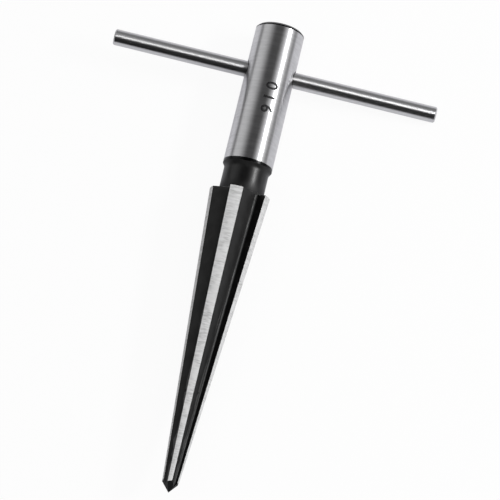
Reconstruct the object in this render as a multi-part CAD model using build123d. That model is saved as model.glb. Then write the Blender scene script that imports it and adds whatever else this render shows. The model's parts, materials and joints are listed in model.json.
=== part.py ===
from build123d import *
import math
import os

# T-handle taper reamer, a hand tool that opens drilled holes up to 16 mm.
# A fluted steel body, with a plain rod pressed through its head as the handle.
#
# The tool is drawn upright: the point's tip is the origin, the axis is +Z, and
# the long side of the handle is +X. Angles about the axis start at -Y, which is
# the upper side once the tool lies down, and grow towards +X. Sizes are in mm.

# Driving sizes of the head and neck
HEAD_DIA = 12.7
HEAD_LENGTH = 37.2
HEAD_CHAMFER = 0.55
CENTRE_DRILL_DIA = 1.6
CENTRE_DRILL_DEPTH = 4.5
CENTRE_CONE_DIA = 3.4
CENTRE_CONE_ANGLE = 60.0
NECK_DIA = 11.5
NECK_LENGTH = 8.2
COLLAR_LENGTH = 0.8
COLLAR_CORNER = 0.35
NECK_SWEEP_RADIUS = 2.0
NECK_FOOT_RADIUS = 0.4

# Driving sizes of the cutting end
FLUTE_COUNT = 5
FLUTED_LENGTH = 75.3
LARGE_END_DIA = 16.0
SMALL_END_DIA = 4.3
POINT_LENGTH = 2.4
FIRST_CUTTING_FACE = -22.8
LAND_WIDTH_LARGE = 3.35
LAND_WIDTH_SMALL = 1.05
LAND_RELIEF_LARGE = 0.28
LAND_RELIEF_SMALL = 0.14
ROOT_RADIUS_LARGE = 4.92
ROOT_RADIUS_SMALL = 1.15
ROOT_FILLET_LARGE = 0.55
ROOT_FILLET_SMALL = 0.18
BACK_HOLLOW = 0.06
RUN_OUT_ANGLE = 52.0
CUTTER_CLEARANCE = 2.0

# Driving sizes of the handle
BAR_DIA = 4.15
BAR_LONG_SIDE = 43.8
BAR_SHORT_SIDE = 41.0
BAR_CHAMFER = 0.3
BAR_BELOW_HEAD_END = 12.2

# Heights and angles worked out from the sizes above
SHOULDER_Z = POINT_LENGTH + FLUTED_LENGTH
HEAD_FOOT_Z = SHOULDER_Z + NECK_LENGTH
HEAD_END_Z = HEAD_FOOT_Z + HEAD_LENGTH
BAR_Z = HEAD_END_Z - BAR_BELOW_HEAD_END
PITCH = 360.0 / FLUTE_COUNT


def around(radius, angle):
    """The point of a cross-section at this radius and angle about the axis."""
    turn = math.radians(angle)
    return Vector(radius * math.sin(turn), -radius * math.cos(turn))


def tapered(z, small, large):
    """A size at height z that grows evenly from the small end to the large one."""
    return small + (large - small) * (z - POINT_LENGTH) / FLUTED_LENGTH


def land_angle(z):
    """The angle about the axis that one land takes up at height z."""
    width = tapered(z, LAND_WIDTH_SMALL, LAND_WIDTH_LARGE)
    diameter = tapered(z, SMALL_END_DIA, LARGE_END_DIA)
    return 2 * math.degrees(math.asin(width / diameter))


def corner(profile, x, y):
    """The corner of a flat profile nearest to a point."""
    return profile.vertices().sort_by_distance((x, y))[0]


def turned_head():
    """The head, collar and neck as turned. The neck's foot flares into the shoulder."""
    head = HEAD_DIA / 2
    neck = NECK_DIA / 2
    foot = neck + NECK_FOOT_RADIUS
    foot_z = SHOULDER_Z + NECK_FOOT_RADIUS
    step = head - neck
    collar_z = HEAD_FOOT_Z - COLLAR_LENGTH
    sweep_z = collar_z - math.sqrt(2 * NECK_SWEEP_RADIUS * step - step**2)
    floor = Line((0, SHOULDER_Z), (foot, SHOULDER_Z))
    flare = TangentArc((foot, SHOULDER_Z), (neck, foot_z), tangent=(-1, 0))
    waist = Line((neck, foot_z), (neck, sweep_z))
    sweep = TangentArc((neck, sweep_z), (head, collar_z), tangent=(0, 1))
    above = Polyline((head, collar_z), (head, HEAD_END_Z), (0, HEAD_END_Z), (0, SHOULDER_Z))
    profile = make_face([floor, flare, waist, sweep, above])
    profile = fillet(corner(profile, head, collar_z), COLLAR_CORNER)
    profile = chamfer(corner(profile, head, HEAD_END_Z), HEAD_CHAMFER)
    return revolve(Plane.XZ * profile, Axis.Z)


def centre_hole():
    """The centre drilled in the head's end face, on which the taper is ground."""
    drill = CENTRE_DRILL_DIA / 2
    mouth = CENTRE_CONE_DIA / 2
    cone_depth = (mouth - drill) / math.tan(math.radians(CENTRE_CONE_ANGLE / 2))
    profile = make_face(
        Polyline(
            (0, HEAD_END_Z),
            (mouth, HEAD_END_Z),
            (drill, HEAD_END_Z - cone_depth),
            (drill, HEAD_END_Z - CENTRE_DRILL_DEPTH),
            (0, HEAD_END_Z - CENTRE_DRILL_DEPTH - drill),
            close=True,
        )
    )
    return revolve(Plane.XZ * profile, Axis.Z)


def flute_back(z, root_radius):
    """The hollow back of the flute ahead of the first cutting face, at height z.

    It falls from the heel of the land before it to the root of the cutting face.
    """
    heel_radius = tapered(z, SMALL_END_DIA, LARGE_END_DIA) / 2
    heel_radius -= tapered(z, LAND_RELIEF_SMALL, LAND_RELIEF_LARGE)
    heel = around(heel_radius, FIRST_CUTTING_FACE - PITCH + land_angle(z))
    root = around(root_radius, FIRST_CUTTING_FACE)
    inward = (root - heel).rotate(Axis.Z, -90)
    hollow = (heel + root) / 2 + inward * BACK_HOLLOW
    return ThreePointArc(heel, hollow, root)


def fluted_section(z):
    """The whole cross-section of the cutting end at height z.

    Each land is full at its cutting edge and ground a little lower towards its
    heel, so that only the edge touches the hole. The cutting faces are radial.
    """
    radius = tapered(z, SMALL_END_DIA, LARGE_END_DIA) / 2
    relief = tapered(z, LAND_RELIEF_SMALL, LAND_RELIEF_LARGE)
    edge_angle = FIRST_CUTTING_FACE - PITCH
    middle = around(radius - relief / 2, edge_angle + land_angle(z) / 2)
    back = flute_back(z, tapered(z, ROOT_RADIUS_SMALL, ROOT_RADIUS_LARGE))
    land = ThreePointArc(around(radius, edge_angle), middle, back @ 0)
    face = Line(back @ 1, around(radius, FIRST_CUTTING_FACE))
    turns = [Rot(Z=turn * PITCH) for turn in range(FLUTE_COUNT)]
    section = make_face([turn * line for turn in turns for line in (land, back, face)])
    roots = section.vertices().sort_by_distance((0, 0))[:FLUTE_COUNT]
    section = fillet(roots, tapered(z, ROOT_FILLET_SMALL, ROOT_FILLET_LARGE))
    return Pos(0, 0, z) * section


def flute_mouth(z, root_radius):
    """The open area of one flute at height z, for a root at this radius."""
    back = flute_back(z, root_radius)
    heel, root = back @ 0, back @ 1
    outside = LARGE_END_DIA / 2 + CUTTER_CLEARANCE
    above_face = around(outside, FIRST_CUTTING_FACE)
    above_heel = around(outside, FIRST_CUTTING_FACE - PITCH + land_angle(z))
    mouth = make_face([back, Polyline(root, above_face, above_heel, heel)])
    return Pos(0, 0, z) * fillet(corner(mouth, root.X, root.Y), ROOT_FILLET_LARGE)


def run_out():
    """The end of one flute, where the cutter climbs out through the foot of the neck."""
    full_radius = LARGE_END_DIA / 2
    climb = (full_radius - ROOT_RADIUS_LARGE) / math.tan(math.radians(RUN_OUT_ANGLE))
    start = flute_mouth(SHOULDER_Z, ROOT_RADIUS_LARGE)
    return loft([start, flute_mouth(SHOULDER_Z + climb, full_radius)], ruled=True)


def point_facet():
    """What is ground off for the facet that backs off from the first cutting face.

    All facets meet at the tip. Each one starts at its own cutting face and falls
    away behind it, so the point cuts as well as the flutes do.
    """
    middle = FIRST_CUTTING_FACE + PITCH / 2
    reach = SMALL_END_DIA / 2 * math.cos(math.radians(PITCH / 2))
    slope = math.degrees(math.atan2(reach, POINT_LENGTH))
    outward = around(1, middle) * math.cos(math.radians(slope))
    outward -= Vector(0, 0, math.sin(math.radians(slope)))
    size = 4 * LARGE_END_DIA
    facet = Plane(origin=(0, 0, 0), z_dir=outward)
    return facet * Box(size, size, size, align=(Align.CENTER, Align.CENTER, Align.MIN))


def reamer_body():
    """The body: turned, fluted, pointed and cross-drilled for the handle."""
    body = turned_head() + loft([fluted_section(0), fluted_section(SHOULDER_Z)], ruled=True)
    for turn in range(FLUTE_COUNT):
        body -= Rot(Z=turn * PITCH) * run_out()
        body -= Rot(Z=turn * PITCH) * point_facet()
    body -= centre_hole()
    cross_hole = Pos(0, 0, BAR_Z) * Rot(Y=90) * Cylinder(BAR_DIA / 2, 2 * HEAD_DIA)
    return body - cross_hole


def t_bar():
    """The handle: a plain rod with broken edges, pressed through the head."""
    length = BAR_LONG_SIDE + BAR_SHORT_SIDE
    middle = (BAR_LONG_SIDE - BAR_SHORT_SIDE) / 2
    rod = Cylinder(BAR_DIA / 2, length)
    rod = chamfer(rod.edges().filter_by(GeomType.CIRCLE), BAR_CHAMFER)
    return Pos(middle, 0, BAR_Z) * Rot(Y=90) * rod


# How the tool lies. It rests on three points: the edge of the head's end, the
# lowest cutting edge at the shoulder, and the rim of the handle's long side. The
# point stays in the air, because the head is the heavier end.
HEAD_RIM_Z = HEAD_END_Z - HEAD_CHAMFER
EDGE_RADIUS = LARGE_END_DIA / 2
HEEL_RADIUS = EDGE_RADIUS - LAND_RELIEF_LARGE


def level_edge_angle():
    """How far a cutting edge is off the bottom when the heel before it touches too."""
    gap = math.radians(PITCH - land_angle(SHOULDER_Z))
    rise = EDGE_RADIUS - HEEL_RADIUS * math.cos(gap)
    return math.degrees(math.atan2(rise, HEEL_RADIUS * math.sin(gap)))


LEVEL_ROLL = (level_edge_angle() - FIRST_CUTTING_FACE + 180) % PITCH


def head_drop(roll):
    """How far the head dips below level once the tool has rolled by this angle."""
    off_bottom = max(0, level_edge_angle() - LEVEL_ROLL + roll)
    edge_reach = EDGE_RADIUS * math.cos(math.radians(off_bottom))
    return math.degrees(math.atan2(edge_reach - HEAD_DIA / 2, HEAD_RIM_Z - SHOULDER_Z))


def axis_height(z, dip):
    """The height of the tool's axis above the surface, at height z of the tool."""
    dip = math.radians(dip)
    return HEAD_DIA / 2 * math.cos(dip) + (HEAD_RIM_Z - z) * math.sin(dip)


def bar_clearance(roll):
    """The gap left under the handle's long side once the tool has rolled."""
    dip = head_drop(roll)
    slant = math.sin(math.radians(roll)) * math.cos(math.radians(dip))
    rim = BAR_DIA / 2 * math.sqrt(1 - slant**2)
    return axis_height(BAR_Z, dip) - (BAR_LONG_SIDE - BAR_CHAMFER) * slant - rim


def resting_roll():
    """The roll at which the handle touches, or two lands do if it never reaches."""
    low = 0.0
    high = LEVEL_ROLL
    if bar_clearance(high) > 0:
        return high
    while high - low > 1e-6:
        roll = (low + high) / 2
        if bar_clearance(roll) > 0:
            low = roll
        else:
            high = roll
    return low


def lying_place(pieces):
    """The move from the upright drawing to the tool at rest on the surface z = 0."""
    roll = resting_roll()
    dip = head_drop(roll)
    settle = Pos(0, 0, axis_height(0, dip)) * Rot(X=-90 - dip) * Rot(Z=roll)
    middle = Compound([settle * piece for piece in pieces]).bounding_box().center()
    return Pos(-middle.X, -middle.Y, 0) * settle


upright = {"reamer_body": reamer_body(), "t_bar": t_bar()}
place = lying_place(list(upright.values()))

os.makedirs("parts", exist_ok=True)
for name, piece in upright.items():
    export_step(place * piece, f"parts/{name}.step")
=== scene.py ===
import json
import math

import bmesh
import bpy
from mathutils import Matrix, Vector


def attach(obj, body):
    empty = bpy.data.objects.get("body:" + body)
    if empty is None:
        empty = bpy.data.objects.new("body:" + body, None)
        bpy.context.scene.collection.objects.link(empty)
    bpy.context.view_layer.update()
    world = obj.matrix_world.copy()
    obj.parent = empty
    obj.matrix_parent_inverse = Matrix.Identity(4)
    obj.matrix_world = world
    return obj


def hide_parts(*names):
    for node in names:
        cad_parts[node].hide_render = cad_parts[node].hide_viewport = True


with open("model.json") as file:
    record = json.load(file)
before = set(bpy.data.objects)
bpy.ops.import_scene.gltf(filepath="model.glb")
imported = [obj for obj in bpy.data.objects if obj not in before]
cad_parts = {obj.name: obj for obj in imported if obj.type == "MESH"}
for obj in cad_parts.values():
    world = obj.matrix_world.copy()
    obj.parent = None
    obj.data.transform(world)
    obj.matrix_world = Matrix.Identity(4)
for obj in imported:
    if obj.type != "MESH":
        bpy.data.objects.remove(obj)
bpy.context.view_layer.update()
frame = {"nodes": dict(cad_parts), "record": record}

# The reamer's body. One piece of tool steel, turned with its head and neck, milled
# with five flutes and pointed. It was blackened all over, and then its head and its
# five lands were ground bright.
MM = 0.001
CONE_SMALL_RADIUS = 2.15
CONE_LARGE_RADIUS = 8.0
CONE_FOOT = 2.4
CONE_LENGTH = 75.3
SHOULDER = CONE_FOOT + CONE_LENGTH
LAND_RELIEF = 0.28
ROOT_SMALL_RADIUS = 1.15
ROOT_LARGE_RADIUS = 4.92
ROOT_CORNER = 0.4
RUN_OUT_TOP = 80.0
NECK_BRIGHT_FROM = 81.0
NECK_BRIGHT_TO = 83.2
HEAD_RADIUS = 6.35
HEAD_FOOT = 85.9
HEAD_RIM = 122.25
CROSS_HOLE = 110.9
CROSS_HOLE_RADIUS = 2.075
HOLE_EDGE = 0.5
OXIDE_THICK = (0.003, 0.003, 0.0031, 1)
OXIDE_THIN = (0.07, 0.07, 0.07, 1)
OXIDE_ON_COLLAR = (0.02, 0.02, 0.0204, 1)
GROUND_STEEL = (0.44, 0.44, 0.45, 1)
GROUND_STEEL_PALE = (0.80, 0.80, 0.81, 1)
FRESH_LAND = (0.67, 0.67, 0.67, 1)
FRESH_LAND_SHADE = (0.41, 0.41, 0.41, 1)


def axes_at(origin, along, across):
    """The place of a piece whose own Z runs along one direction and X across it."""
    side = along.cross(across)
    place = Matrix((across, side, along)).transposed().to_4x4()
    place.translation = origin
    return place


def dressed(solid, name, place):
    """A piece with a solid's exact form, drawn in the piece's own axes."""
    mesh = solid.data.copy()
    mesh.transform(place.inverted())
    mesh.materials.clear()
    piece = bpy.data.objects.new(name, mesh)
    bpy.context.scene.collection.objects.link(piece)
    piece.matrix_world = place
    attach(piece, "root")
    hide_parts(solid.name)
    return piece


class Wire:
    """One socket of a material. Arithmetic on it adds the Math nodes that it needs."""

    def __init__(self, tree, socket=None):
        self.tree = tree
        self.socket = socket

    def node(self, kind, settings=None, inputs=None, output=0):
        """Adds a node: its settings first, then the values or wires of its sockets."""
        made = self.tree.nodes.new(kind)
        for name, value in (settings or {}).items():
            setattr(made, name, value)
        for name, value in (inputs or {}).items():
            if isinstance(value, Wire):
                self.tree.links.new(value.socket, made.inputs[name])
            else:
                made.inputs[name].default_value = value
        return Wire(self.tree, made.outputs[output] if made.outputs else None)

    def part(self, axis):
        """One number of a vector: its X, Y or Z."""
        return self.node("ShaderNodeSeparateXYZ", {}, {0: self}, axis)

    def ray(self, kind):
        """1 where a ray of this kind meets the surface, and 0 for all other rays."""
        return self.node("ShaderNodeLightPath", output=kind)

    def math(self, operation, *values):
        return self.node("ShaderNodeMath", {"operation": operation}, dict(enumerate(values)))

    def __add__(self, other):
        return self.math("ADD", self, other)

    def __radd__(self, other):
        return self.math("ADD", other, self)

    def __sub__(self, other):
        return self.math("SUBTRACT", self, other)

    def __rsub__(self, other):
        return self.math("SUBTRACT", other, self)

    def __mul__(self, other):
        return self.math("MULTIPLY", self, other)

    def __rmul__(self, other):
        return self.math("MULTIPLY", other, self)

    def __gt__(self, other):
        return self.math("GREATER_THAN", self, other)

    def __lt__(self, other):
        return self.math("LESS_THAN", self, other)

    def __neg__(self):
        return self.math("SUBTRACT", 0.0, self)

    def __abs__(self):
        return self.math("ABSOLUTE", self)


NOISE_ROUGHNESS = 0.6
MIX_SHARE = 0
MIX_FIRST_COLOUR = 6
MIX_SECOND_COLOUR = 7
MIX_RESULT_COLOUR = 2


def new_finish(name):
    """A blank material, and the wire of its places in millimetres on its piece."""
    material = bpy.data.materials.new(name)
    material.use_nodes = True
    material.node_tree.nodes.clear()
    places = Wire(material.node_tree).node("ShaderNodeTexCoord", output="Object")
    spot = places.node("ShaderNodeVectorMath", {"operation": "SCALE"}, {0: places, "Scale": 1 / MM})
    return material, spot


def streaks(spot, per_mm, detail=3.0):
    """Noise from 0 to 1 with this many cells to the millimetre along each axis."""
    squeezed = spot.node("ShaderNodeVectorMath", {"operation": "MULTIPLY"}, {0: spot, 1: per_mm})
    noise = {"Vector": squeezed, "Scale": 1.0, "Detail": detail, "Roughness": NOISE_ROUGHNESS}
    return spot.node("ShaderNodeTexNoise", {}, noise, "Fac")


def spread(value, low, high):
    """Stretches the values between two limits to the whole range from 0 to 1."""
    limits = {"Value": value, "From Min": low, "From Max": high}
    return value.node("ShaderNodeMapRange", {"interpolation_type": "SMOOTHSTEP"}, limits)


def blended(share, first, second):
    """The colour that lies this share of the way from the first to the second."""
    colours = {MIX_SHARE: share, MIX_FIRST_COLOUR: first, MIX_SECOND_COLOUR: second}
    return share.node("ShaderNodeMix", {"data_type": "RGBA"}, colours, MIX_RESULT_COLOUR)


def dented(height, depth):
    """The normal of a surface with this relief, its depth in millimetres."""
    return height.node("ShaderNodeBump", {}, {"Height": height, "Distance": depth * MM})


def steel_surface(spot, sockets):
    """The material's surface: these values or wires on its sockets, and bare steel if
    they don't say how metallic it is."""
    shader = spot.node("ShaderNodeBsdfPrincipled", {}, {"Metallic": 1.0, **sockets})
    spot.node("ShaderNodeOutputMaterial", {}, {"Surface": shader})


MOTTLE_PER_MM = (0.5, 0.5, 0.35)
MOTTLE_SHARE = 0.3
MOTTLE_ROUGHNESS = 0.04
# How much paler the oxide is painted under the head: a painted sheen.
SWEEP_PAINTED_SHEEN = 0.2
MILLING_MARKS_PER_MM = (9.0, 9.0, 0.25)


def oxide_finish(name, thickness, roughness, gloss, marks=0.0, dulled=0.0):
    """Black oxide on steel, thin and grey at 0, thick and black at 1, over milling marks.

    The marks are this deep in millimetres. A dulled finish is this much rougher at the
    shoulder, where the cutters ran out, and under the head, where the neck sweeps out.
    From the top of the neck up to the head's rim the coat is painted paler: a painted
    sheen for the light that the sweep under the head catches.
    """
    material, spot = new_finish(name)
    mottle = streaks(spot, MOTTLE_PER_MM)
    height = spot.part("Z")
    near_shoulder = 1.0 - spread(height, SHOULDER, NECK_BRIGHT_FROM)
    near_head = spread(height, NECK_BRIGHT_TO, HEAD_FOOT) * (height < HEAD_RIM)
    # Under the head the coat is painted paler: a painted sheen where the sweep catches light.
    coat_and_painted_sheen = mottle * MOTTLE_SHARE + (thickness - MOTTLE_SHARE / 2) - near_head * SWEEP_PAINTED_SHEEN
    sockets = {
        "Base Color": blended(coat_and_painted_sheen, OXIDE_THIN, OXIDE_THICK),
        "Metallic": 0.0,
        "IOR": gloss,
        "Roughness": mottle * MOTTLE_ROUGHNESS + roughness + (near_shoulder + near_head) * dulled,
    }
    if marks:
        sockets["Normal"] = dented(streaks(spot, MILLING_MARKS_PER_MM, detail=2.0), marks)
    steel_surface(spot, sockets)
    return material


turned_oxide = oxide_finish("turned_oxide", thickness=1.0, roughness=0.28, gloss=1.42, dulled=0.3)
flute_back = oxide_finish("flute_back", thickness=0.75, roughness=0.45, gloss=1.25, marks=0.004)
cutting_face = oxide_finish("cutting_face", thickness=1.0, roughness=0.3, gloss=1.32, marks=0.002)
# The root corners and the run-outs just above the shoulder are painted pale grey: a painted highlight
# where these curved faces catch the soft box.
flute_corner_painted_highlight = oxide_finish("flute_corner_painted_highlight", thickness=0.05, roughness=0.4, gloss=1.4, marks=0.003)

WHEEL_MARKS_PER_MM = (0.45, 0.45, 2.6)
WHEEL_MARK_LIMITS = (0.32, 0.72)
WHEEL_MARK_ROUGHNESS = 0.16
WHEEL_MARK_DEPTH = 0.006
MARK_GROUPS_PER_MM = (0.4, 0.4, 0.4)
MARK_GROUP_LIMITS = (0.2, 0.7)
LAND_METALLIC = 0.15
LAND_ROUGHNESS = 0.5

ground_land, spot = new_finish("ground_land")
wheel_marks = streaks(spot, WHEEL_MARKS_PER_MM, detail=2.0)
mark_groups = streaks(spot, MARK_GROUPS_PER_MM, detail=1.0)
marked = spread(wheel_marks, *WHEEL_MARK_LIMITS) * spread(mark_groups, *MARK_GROUP_LIMITS)
steel_surface(
    spot,
    {
        "Base Color": blended(marked, FRESH_LAND, FRESH_LAND_SHADE),
        "Metallic": LAND_METALLIC,
        "Roughness": LAND_ROUGHNESS + wheel_marks * WHEEL_MARK_ROUGHNESS,
        "Normal": dented(wheel_marks, WHEEL_MARK_DEPTH),
    },
)

HEAD_RINGS_PER_MM = (0.22, 0.22, 1.6)
HEAD_PATCHES_PER_MM = (0.12, 0.12, 0.3)
HEAD_ROUGHNESS = 0.22
HEAD_RING_ROUGHNESS = 0.14
HEAD_PATCH_ROUGHNESS = 0.06
HEAD_STRETCH = 0.9
QUARTER_TURN = 0.25

ground_head, spot = new_finish("ground_head")
rings = streaks(spot, HEAD_RINGS_PER_MM, detail=4.0)
patches = streaks(spot, HEAD_PATCHES_PER_MM, detail=2.0)
height = spot.part("Z")
seen_along_hole = {0: spot, 1: (0, 1, 1), 2: (0, 0, -CROSS_HOLE)}
off_hole = spot.node("ShaderNodeVectorMath", {"operation": "MULTIPLY_ADD"}, seen_along_hole)
from_hole = spot.node("ShaderNodeVectorMath", {"operation": "LENGTH"}, {0: off_hole}, "Value")
# A ring round the cross hole is painted in the oxide's black: painted shade where the rod enters the
# head.
painted_hole_shade = 1.0 - spread(from_hole, CROSS_HOLE_RADIUS + HOLE_EDGE / 2, CROSS_HOLE_RADIUS + HOLE_EDGE)
ground = blended(rings, GROUND_STEEL, GROUND_STEEL_PALE)
above_collar = blended((height > HEAD_RIM) + painted_hole_shade, ground, OXIDE_THICK)
steel_surface(
    spot,
    {
        "Base Color": blended(height < HEAD_FOOT, above_collar, OXIDE_ON_COLLAR),
        "Roughness": HEAD_ROUGHNESS + rings * HEAD_RING_ROUGHNESS + patches * HEAD_PATCH_ROUGHNESS,
        "Anisotropic": HEAD_STRETCH,
        "Anisotropic Rotation": QUARTER_TURN,
    },
)

mounts = {mount["name"]: mount for mount in frame["record"]["mounts"]}
tool_axis = Vector(mounts["head_shank"]["axis"])
bar_axis = Vector(mounts["bar_long_end"]["axis"])
on_axis = Vector(mounts["head_shank"]["pos_m"])
body_solid = frame["nodes"]["reamer_body"]
tip_reach = min((point.co - on_axis).dot(tool_axis) for point in body_solid.data.vertices)
tool_place = axes_at(on_axis + tool_axis * tip_reach, tool_axis, bar_axis)
body = dressed(body_solid, "reamer_body_steel", tool_place)
finishes = [turned_oxide, flute_back, cutting_face, flute_corner_painted_highlight, ground_land, ground_head]
for finish in finishes:
    body.data.materials.append(finish)

FACING_OUT = 0.9
FACING_ROUND = 0.15
FORM_ERROR = 0.04


def outwardness(face):
    """How squarely a face looks away from the tool's axis: 1 for a round surface."""
    middle = face.center.copy()
    middle.z = 0
    return face.normal.dot(middle.normalized())


def lies_on(face, radius_at, relief=0.0):
    """Whether a face points outward and lies on a round surface, or just under it."""
    corners = [body.data.vertices[index].co / MM for index in face.vertices]
    depths = [radius_at(corner.z) - corner.xy.length for corner in corners]
    on_surface = all(-FORM_ERROR < depth < relief + FORM_ERROR for depth in depths)
    return on_surface and outwardness(face) > FACING_OUT


def tapering(height, small, large):
    """A size that grows evenly from the point's end of the flutes to the shoulder."""
    return small + (large - small) * (height - CONE_FOOT) / CONE_LENGTH


def cone_radius(height):
    return tapering(height, CONE_SMALL_RADIUS, CONE_LARGE_RADIUS)


def head_radius(height):
    return HEAD_RADIUS


def finish_of(face):
    """The finish of one face of the body, by how that surface was made, and a painted
    highlight on the root corners and the run-outs.
    """
    height = face.center.z / MM
    if lies_on(face, cone_radius, LAND_RELIEF):
        return ground_land
    if lies_on(face, head_radius):
        return ground_head
    if SHOULDER < height < RUN_OUT_TOP and FACING_ROUND < outwardness(face) < FACING_OUT:
        return flute_corner_painted_highlight
    if not CONE_FOOT < height < SHOULDER:
        return turned_oxide
    if outwardness(face) < FACING_ROUND:
        return cutting_face
    root = tapering(height, ROOT_SMALL_RADIUS, ROOT_LARGE_RADIUS)
    in_corner = face.center.xy.length / MM < root + ROOT_CORNER and outwardness(face) < FACING_OUT
    return flute_corner_painted_highlight if in_corner else flute_back


for face in body.data.polygons:
    face.material_index = finishes.index(finish_of(face))

# The handle. A drawn steel rod, polished round and round, with turned ends and broken
# edges. It is pressed through the cross hole in the head.
ROD_STEEL = (0.58, 0.58, 0.59, 1)
ROD_STEEL_PALE = (0.66, 0.66, 0.67, 1)
ROD_RINGS_PER_MM = (0.3, 0.3, 4.0)
ROD_PATCHES_PER_MM = (0.2, 0.2, 0.25)
ROD_ROUGHNESS = 0.345
ROD_RING_ROUGHNESS = 0.02
ROD_PATCH_ROUGHNESS = 0.04
ROD_STRETCH = 0.97
END_GRAIN_PER_MM = (0.8, 0.8, 0.8)
END_ROUGHNESS = 0.34
END_GRAIN_ROUGHNESS = 0.12
END_GRAIN_DEPTH = 0.01
FACING_END = 0.5

polished_rod, spot = new_finish("polished_rod")
rings = streaks(spot, ROD_RINGS_PER_MM, detail=4.0)
patches = streaks(spot, ROD_PATCHES_PER_MM, detail=2.0)
steel_surface(
    spot,
    {
        "Base Color": blended(rings, ROD_STEEL, ROD_STEEL_PALE),
        "Roughness": ROD_ROUGHNESS + rings * ROD_RING_ROUGHNESS + patches * ROD_PATCH_ROUGHNESS,
        "Anisotropic": ROD_STRETCH,
        "Anisotropic Rotation": QUARTER_TURN,
    },
)
turned_end, spot = new_finish("turned_end")
grain = streaks(spot, END_GRAIN_PER_MM, detail=4.0)
steel_surface(
    spot,
    {
        "Base Color": blended(grain, ROD_STEEL, ROD_STEEL_PALE),
        "Roughness": END_ROUGHNESS + grain * END_GRAIN_ROUGHNESS,
        "Normal": dented(grain, END_GRAIN_DEPTH),
    },
)
bar_place = axes_at(Vector(mounts["bar_long_end"]["pos_m"]), bar_axis, tool_axis)
bar = dressed(frame["nodes"]["t_bar"], "handle_rod", bar_place)
bar.data.materials.append(polished_rod)
bar.data.materials.append(turned_end)
for face in bar.data.polygons:
    face.material_index = int(abs(face.normal.z) > FACING_END)

# The size mark. A plain number for the largest hole that the tool opens, etched dark
# into the ground head, its digits standing across the tool.
MARK_TEXT = "016"
MARK_HEIGHT = 3.1
MARK_SPACING = 1.48
MARK_BOLDER = 0.09
MARK_MIDDLE = 102.8
MARK_ANGLE = 12.0
MARK_THICKNESS = 0.03
MARK_STRIP = 0.2
MARK_WELD = 0.0001
CAPITAL_SHARE = 0.727
ETCHED_STEEL = (0.025, 0.025, 0.026, 1)
ETCHED_STEEL_PALE = (0.06, 0.06, 0.062, 1)
ETCHED_GRAIN_PER_MM = (6.0, 6.0, 6.0)
ETCHED_ROUGHNESS = 0.5
ETCHED_GRAIN_ROUGHNESS = 0.15
ETCHED_GRAIN_DEPTH = 0.01

text = bpy.data.curves.new("size_mark", "FONT")
text.body = MARK_TEXT
text.size = MARK_HEIGHT / CAPITAL_SHARE
text.space_character = MARK_SPACING
text.offset = MARK_BOLDER
text.align_x = "CENTER"
text.extrude = MARK_THICKNESS / 2
flat_mark = bpy.data.objects.new("flat_mark", text)
bpy.context.scene.collection.objects.link(flat_mark)
settled = bpy.context.evaluated_depsgraph_get()
mark_mesh = bpy.data.meshes.new_from_object(flat_mark.evaluated_get(settled))
bpy.data.objects.remove(flat_mark)

bend = bmesh.new()
bend.from_mesh(mark_mesh)
bmesh.ops.remove_doubles(bend, verts=bend.verts, dist=MARK_WELD)
for strip in range(1, math.ceil(MARK_HEIGHT / MARK_STRIP)):
    level = (0, strip * MARK_STRIP, 0)
    everything = bend.verts[:] + bend.edges[:] + bend.faces[:]
    bmesh.ops.bisect_plane(bend, geom=everything, plane_co=level, plane_no=(0, 1, 0))
for vertex in bend.verts:
    along, across, lift = vertex.co
    angle = math.radians(MARK_ANGLE) + (across - MARK_HEIGHT / 2) / HEAD_RADIUS
    radius = HEAD_RADIUS + lift
    vertex.co = Vector((radius * math.sin(angle), -radius * math.cos(angle), MARK_MIDDLE - along)) * MM
bend.to_mesh(mark_mesh)
bend.free()
mark = bpy.data.objects.new("size_mark", mark_mesh)
bpy.context.scene.collection.objects.link(mark)
mark.matrix_world = tool_place
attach(mark, "root")

etched_mark, spot = new_finish("etched_mark")
grain = streaks(spot, ETCHED_GRAIN_PER_MM)
steel_surface(
    spot,
    {
        "Base Color": blended(grain, ETCHED_STEEL, ETCHED_STEEL_PALE),
        "Roughness": ETCHED_ROUGHNESS + grain * ETCHED_GRAIN_ROUGHNESS,
        "Normal": dented(grain, ETCHED_GRAIN_DEPTH),
    },
)
mark_mesh.materials.append(etched_mark)

# The table. A plain white sheet that the tool lies on. The camera sees it almost
# evenly white, with a light shadow under the tool. The steel sees it a little bluer,
# with a painted pool of light: its glow in the steel is bright near the tool and
# painted darker further out.
TABLE_REACH = 6.0
TABLE_WHITE = (0.72, 0.72, 0.72, 1)
TABLE_SEEN = (1.0, 1.0, 1.0, 1)
TABLE_OWN_WHITE = 0.94
TABLE_OWN_MIRRORED = 0.5
TABLE_MIRRORED = (0.90, 0.895, 0.945, 1)
TABLE_MIRRORED_FAR = (0.08, 0.08, 0.08, 1)
MIRRORED_MIDDLE = 20 * MM
MIRRORED_FROM = 80 * MM
MIRRORED_TO = 150 * MM

corners = [(-TABLE_REACH, -TABLE_REACH, 0), (TABLE_REACH, -TABLE_REACH, 0)]
corners += [(TABLE_REACH, TABLE_REACH, 0), (-TABLE_REACH, TABLE_REACH, 0)]
table_mesh = bpy.data.meshes.new("table")
table_mesh.from_pydata(corners, [], [(0, 1, 2, 3)])
table = bpy.data.objects.new("table", table_mesh)
bpy.context.scene.collection.objects.link(table)

white_sheet, spot = new_finish("white_sheet")
sideways = spot.node("ShaderNodeTexCoord", output="Object").part("X")
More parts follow.
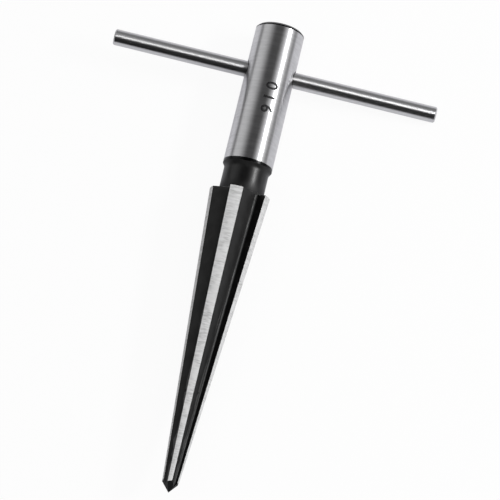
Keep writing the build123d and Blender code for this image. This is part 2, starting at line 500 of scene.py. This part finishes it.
# A painted pool of light: the glow that the steel sees fades to dark beyond these distances from the
# tool.
beyond_painted_pool = spread(abs(sideways - MIRRORED_MIDDLE), MIRRORED_FROM, MIRRORED_TO)
painted_pool_colour = blended(beyond_painted_pool, TABLE_MIRRORED, TABLE_MIRRORED_FAR)
paper = spot.node("ShaderNodeBsdfDiffuse", {}, {"Color": TABLE_WHITE})
own_white = spot.node("ShaderNodeEmission", {}, {"Color": TABLE_SEEN})
mirror_white = spot.node("ShaderNodeEmission", {}, {"Color": painted_pool_colour})
seen = (spot.ray("Is Camera Ray") + spot.ray("Is Transmission Ray")) * TABLE_OWN_WHITE
mirrored = spot.ray("Is Glossy Ray") * TABLE_OWN_MIRRORED
lit_sheet = spot.node("ShaderNodeMixShader", {}, {0: seen, 1: paper, 2: own_white})
sheet = spot.node("ShaderNodeMixShader", {}, {0: mirrored, 1: lit_sheet, 2: mirror_white})
spot.node("ShaderNodeOutputMaterial", {}, {"Surface": sheet})
table_mesh.materials.append(white_sheet)

# The studio. The steel mirrors a narrow soft box in a glowing panel to the right, a
# dimmer panel to the left, a faint wall beyond the head and a dark ceiling. A wide
# sheet overhead, which it doesn't mirror, adds soft light.
SOFT_BOX = {"towards": (0.763, 0.189, 0.618), "distance": 0.6, "size": (0.08, 0.22), "radiance": 36.0}
OVERHEAD = {"towards": (0.0, 0.1, 1.0), "distance": 1.0, "size": (1.4, 1.4), "radiance": 1.1}
CEILING = 0.04
HORIZON = 0.13
HORIZON_TOP = 0.45
FOOT_DARK_TO = -0.95
FOOT_BRIGHT_FROM = -0.45
HEAD_WALL = 0.2
HEAD_WALL_FROM = 0.35
HEAD_WALL_TO = 0.7
BAND_MIDDLE = 0.27
BAND_CORE = 0.10
BAND_EDGE = 0.42
RIGHT_PANEL = {"starts": 14, "full": 48, "fading": 56, "gone": 91, "radiance": 1.5}
LEFT_PANEL = {"starts": 10, "full": 54, "fading": 72, "gone": 88, "radiance": 1.0}


def lamp(name, towards, distance, size, radiance):
    """A flat lamp that faces the tool from a direction, as bright as its radiance says."""
    data = bpy.data.lights.new(name, "AREA")
    data.shape = "RECTANGLE"
    data.size, data.size_y = size
    data.energy = radiance * math.pi * size[0] * size[1]
    made = bpy.data.objects.new(name, data)
    direction = Vector(towards).normalized()
    across = Vector((0, 1, 0)).cross(direction).normalized()
    made.matrix_world = axes_at(direction * distance, direction, across)
    made.visible_camera = False
    bpy.context.scene.collection.objects.link(made)
    return made


def panel(tilt, starts, full, fading, gone, radiance):
    """A glowing wall panel: how bright it is at a tilt in degrees from straight up."""
    return spread(tilt, starts, full) * (1.0 - spread(tilt, fading, gone)) * radiance


lamp("soft_box", **SOFT_BOX)
lamp("overhead_sheet", **OVERHEAD).visible_glossy = False

room = bpy.data.worlds.new("room")
bpy.context.scene.world = room
room.use_nodes = True
room.node_tree.nodes.clear()
view = Wire(room.node_tree).node("ShaderNodeTexCoord", output="Generated")
rightward = view.part("X")
headward = view.part("Y")
upward = view.part("Z")
tilt = view.math("ARCTAN2", rightward, upward) * math.degrees(1)
band = 1.0 - spread(abs(headward - BAND_MIDDLE), BAND_CORE, BAND_EDGE)
panels = (panel(tilt, **RIGHT_PANEL) + panel(-tilt, **LEFT_PANEL)) * band
walls = HORIZON - spread(upward, 0.0, HORIZON_TOP) * (HORIZON - CEILING)
head_wall = spread(headward, HEAD_WALL_FROM, HEAD_WALL_TO) * HEAD_WALL
glow = walls * spread(headward, FOOT_DARK_TO, FOOT_BRIGHT_FROM) + head_wall + panels
seen = view.ray("Is Camera Ray") + view.ray("Is Transmission Ray")
strength = view.math("MAXIMUM", glow, seen)
sky = view.node("ShaderNodeBackground", {}, {"Color": (1, 1, 1, 1), "Strength": strength})
view.node("ShaderNodeOutputWorld", {}, {"Surface": sky})

# The camera. It looks down on the tool from the photograph's side, a little
# from the point's end, and is turned so that the tool slants across the picture.
CAMERA_AZIMUTH = 20.781
CAMERA_ELEVATION = 75.292
CAMERA_ROLL = 8.060
CAMERA_DISTANCE = 0.560
CAMERA_LENS = 160.63
CAMERA_SENSOR = 36
CAMERA_AIM = Vector((4.120, 2.706, 7.389)) * MM

azimuth = math.radians(CAMERA_AZIMUTH)
elevation = math.radians(CAMERA_ELEVATION)
level = Vector((math.sin(azimuth), -math.cos(azimuth), 0))
backward = level * math.cos(elevation) + Vector((0, 0, math.sin(elevation)))
roll = Matrix.Rotation(math.radians(-CAMERA_ROLL), 3, "Z")
turn = backward.to_track_quat("Z", "Y").to_matrix() @ roll
camera_data = bpy.data.cameras.new("camera")
camera_data.sensor_width = CAMERA_SENSOR
camera_data.lens = CAMERA_LENS
camera = bpy.data.objects.new("camera", camera_data)
bpy.context.scene.collection.objects.link(camera)
camera.matrix_world = Matrix.Translation(CAMERA_AIM + backward * CAMERA_DISTANCE) @ turn.to_4x4()
bpy.context.scene.camera = camera
bpy.context.scene.view_settings.view_transform = "Standard"
